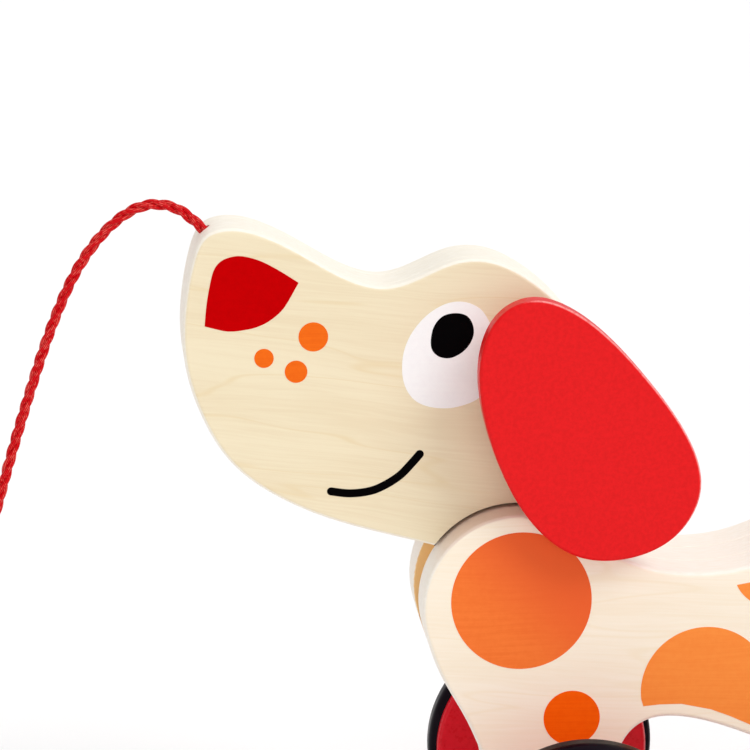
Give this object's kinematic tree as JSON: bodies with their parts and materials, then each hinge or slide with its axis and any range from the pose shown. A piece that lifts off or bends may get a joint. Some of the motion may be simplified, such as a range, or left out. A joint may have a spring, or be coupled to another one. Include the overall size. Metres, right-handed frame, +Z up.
{
  "type": "pull along toy",
  "caption": "Wooden pull along puppy with a turning head, swinging ears, a spring tail, rubber-tyred wheels and a twisted pull cord.",
  "frame": {"origin": "on the ground under the middle of the toy, measured without its cord", "axes": "+Z up, nose towards -X, the puppy's left side towards -Y"},
  "size_m": [0.3426, 0.1112, 0.1871],
  "materials": {
    "birch_face": "fine sanded birch plywood under a clear satin varnish, with printed spots and face",
    "birch_core": "birch plywood with paler rounded edges, clear satin varnish",
    "birch_dowel": "plain turned birch",
    "ear_red": "red lacquer on wood, satin, a trace of grain",
    "wheel_red": "red lacquer on wood, satin",
    "bead_red": "red lacquer on wood, gloss",
    "tyre_rubber": "smooth black rubber with a soft sheen",
    "spring_steel": "zinc plated spring wire",
    "cord_red": "three-strand twisted cotton cord"
  },
  "bodies": {
    "torso": {"torso_panel_left": "birch_face", "torso_panel_right": "birch_face", "torso_core": "birch_core", "neck_dowel": "birch_dowel", "tail_spring": "spring_steel", "pull_cord": "cord_red", "cord_coil": "cord_red", "cord_end": "cord_red", "pull_bead": "bead_red", "cord_knot": "cord_red"},
    "head": {"head_cheek_left": "birch_face", "head_cheek_right": "birch_face", "head_core": "birch_core"},
    "left_ear": {"ear_left": "ear_red", "ear_dowel_left": "birch_dowel", "ear_collar_left": "birch_dowel"},
    "right_ear": {"ear_right": "ear_red", "ear_dowel_right": "birch_dowel", "ear_collar_right": "birch_dowel"},
    "tail": {"tail_ball": "bead_red"},
    "front_wheelset": {"front_axle": "birch_dowel", "front_wheel_left": "wheel_red", "front_tyre_left": "tyre_rubber", "front_spacer_left": "birch_dowel", "front_wheel_right": "wheel_red", "front_tyre_right": "tyre_rubber", "front_spacer_right": "birch_dowel"},
    "rear_wheelset": {"rear_axle": "birch_dowel", "rear_wheel_left": "wheel_red", "rear_tyre_left": "tyre_rubber", "rear_spacer_left": "birch_dowel", "rear_wheel_right": "wheel_red", "rear_tyre_right": "tyre_rubber", "rear_spacer_right": "birch_dowel"}
  },
  "joints": [
    {"name": "head_nod", "type": "hinge", "parent": "torso", "child": "head", "pos_m": [-0.0337, 0, 0.0856], "axis": [0, -1, 0], "range_deg": [-12, 35], "deforming": ["pull_cord"]},
    {"name": "left_ear_swing", "type": "hinge", "parent": "head", "child": "left_ear", "pos_m": [-0.0312, -0.012, 0.146], "axis": [0, -1, 0], "continuous": true},
    {"name": "right_ear_swing", "type": "hinge", "parent": "head", "child": "right_ear", "pos_m": [-0.0312, 0.012, 0.146], "axis": [0, -1, 0], "continuous": true},
    {"name": "tail_wag", "type": "hinge", "parent": "torso", "child": "tail", "pos_m": [0.09005, 0, 0.11529], "axis": [-0.766, 0, 0.6428], "range_deg": [-25, 25], "stiffness_Nm_per_rad": 0.02, "deforming": ["tail_spring"]},
    {"name": "front_wheels_roll", "type": "hinge", "parent": "torso", "child": "front_wheelset", "pos_m": [-0.0202, 0, 0.03], "axis": [0, -1, 0], "continuous": true},
    {"name": "rear_wheels_roll", "type": "hinge", "parent": "torso", "child": "rear_wheelset", "pos_m": [0.0678, 0, 0.03], "axis": [0, -1, 0], "continuous": true}
  ]
}
